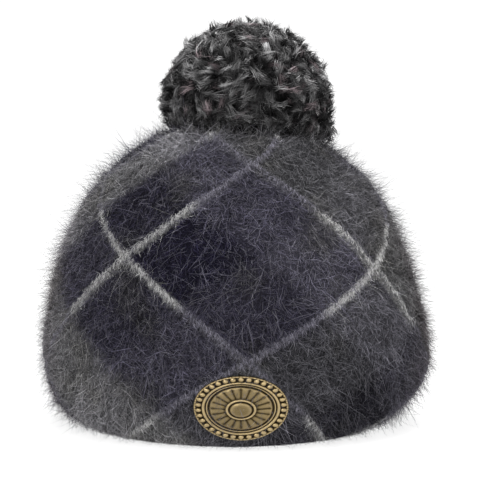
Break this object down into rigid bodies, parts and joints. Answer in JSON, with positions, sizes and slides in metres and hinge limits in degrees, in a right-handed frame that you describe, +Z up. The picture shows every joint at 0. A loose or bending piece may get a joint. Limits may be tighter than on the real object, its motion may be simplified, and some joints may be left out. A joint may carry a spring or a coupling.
{
  "type": "knit hat",
  "caption": "Brushed knit hat with a full rounded crown in a bias check, a fur pompom on top and an oval brass badge at the front of its rim.",
  "frame": {"origin": "middle of the object's box on the plane that the rim stands on", "axes": "+Z up through the pompom, the badge and the front of the hat towards -Y, the wearer's left towards +X"},
  "size_m": [0.2096, 0.2347, 0.2214],
  "materials": {
    "brushed_knit": "brushed wool and angora knit in a bias check of navy, purple grey and charcoal",
    "pompom_fur": "curly dark grey pile",
    "antique_brass": "antiqued cast brass, dark in its recesses",
    "clasp_steel": "dull steel"
  },
  "bodies": {
    "root": {"crown": "brushed_knit", "pompom": "pompom_fur", "badge": "antique_brass", "badge_clasp": "clasp_steel"}
  },
  "joints": []
}
